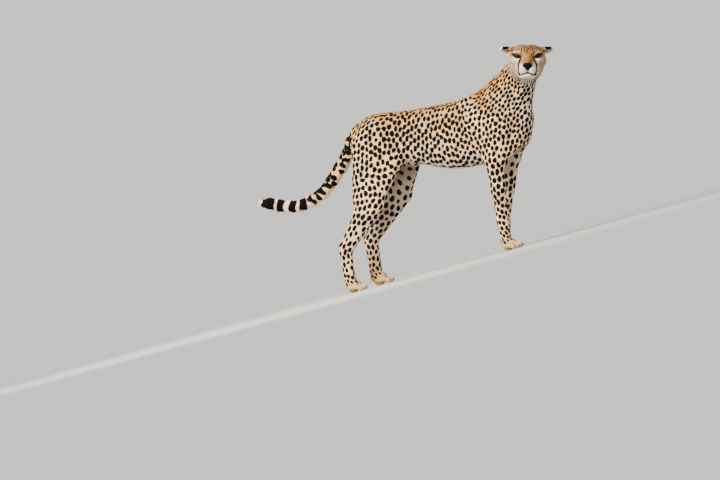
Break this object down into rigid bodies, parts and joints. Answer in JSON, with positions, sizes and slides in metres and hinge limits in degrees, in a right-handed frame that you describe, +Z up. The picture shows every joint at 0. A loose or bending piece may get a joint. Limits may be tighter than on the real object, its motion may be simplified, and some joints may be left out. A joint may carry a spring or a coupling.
{
  "type": "cheetah",
  "caption": "Life-size standing cheetah as a still museum model: slim spotted cat with its head turned to its right and its long tail hanging in a low curve.",
  "frame": {"origin": "centre of the bounding box, at the level of the four soles", "axes": "+X towards the chest, +Y to the animal's left, +Z up"},
  "size_m": [1.6124, 0.397, 0.921],
  "materials": {
    "coat": "short dense fur, buff with solid black spots",
    "face": "short fur, tawny with black tear lines and white round the mouth",
    "pale_coat": "short pale fur of the lower legs and feet",
    "ear": "short fur, black on the back with a pale rim and lining",
    "nose": "bare moist skin, finely grained",
    "eye": "polished, brown with a round pupil",
    "claw": "dark horn, blunt and smooth"
  },
  "bodies": {
    "root": {"torso": "coat", "neck": "coat", "head": "face", "ear_right": "ear", "eye_right": "eye", "ear_left": "ear", "eye_left": "eye", "nose": "nose", "tail_root": "coat", "tail_middle": "coat", "tail_tip": "coat", "foreleg_right": "coat", "thigh_right": "coat", "shank_right": "coat", "hock_right": "pale_coat", "forepaw_right": "pale_coat", "forepaw_right_claw_1": "claw", "forepaw_right_claw_2": "claw", "forepaw_right_claw_3": "claw", "forepaw_right_claw_4": "claw", "hindpaw_right": "pale_coat", "hindpaw_right_claw_1": "claw", "hindpaw_right_claw_2": "claw", "hindpaw_right_claw_3": "claw", "hindpaw_right_claw_4": "claw", "foreleg_left": "coat", "thigh_left": "coat", "shank_left": "coat", "hock_left": "pale_coat", "forepaw_left": "pale_coat", "forepaw_left_claw_1": "claw", "forepaw_left_claw_2": "claw", "forepaw_left_claw_3": "claw", "forepaw_left_claw_4": "claw", "hindpaw_left": "pale_coat", "hindpaw_left_claw_1": "claw", "hindpaw_left_claw_2": "claw", "hindpaw_left_claw_3": "claw", "hindpaw_left_claw_4": "claw"}
  },
  "joints": []
}
